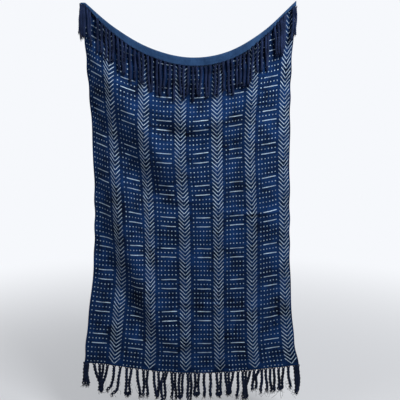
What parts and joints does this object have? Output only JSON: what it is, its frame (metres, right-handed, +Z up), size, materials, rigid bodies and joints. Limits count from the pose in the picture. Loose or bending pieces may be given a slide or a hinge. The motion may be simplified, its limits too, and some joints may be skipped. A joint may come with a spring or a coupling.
{
  "type": "block print blanket",
  "caption": "Indigo cotton throw, block printed in white with dots, bars and chevrons, fringed at both ends and hung by its top corners with the top end turned forward.",
  "frame": {"origin": "on top of the turned-over top edge, at the middle of its sag", "axes": "+Z up, the printed front faces -Y, +X to the right of someone looking at the front"},
  "size_m": [1.106, 0.1203, 1.9901],
  "materials": {
    "indigo_cloth": "matt woven cotton with a white block print",
    "indigo_yarn": "matt twisted cotton yarn"
  },
  "bodies": {
    "root": {"blanket_cloth": "indigo_cloth", "top_fringe_1": "indigo_yarn", "top_fringe_2": "indigo_yarn", "top_fringe_3": "indigo_yarn", "top_fringe_4": "indigo_yarn", "top_fringe_5": "indigo_yarn", "top_fringe_6": "indigo_yarn", "bottom_fringe": "indigo_yarn"}
  },
  "joints": []
}
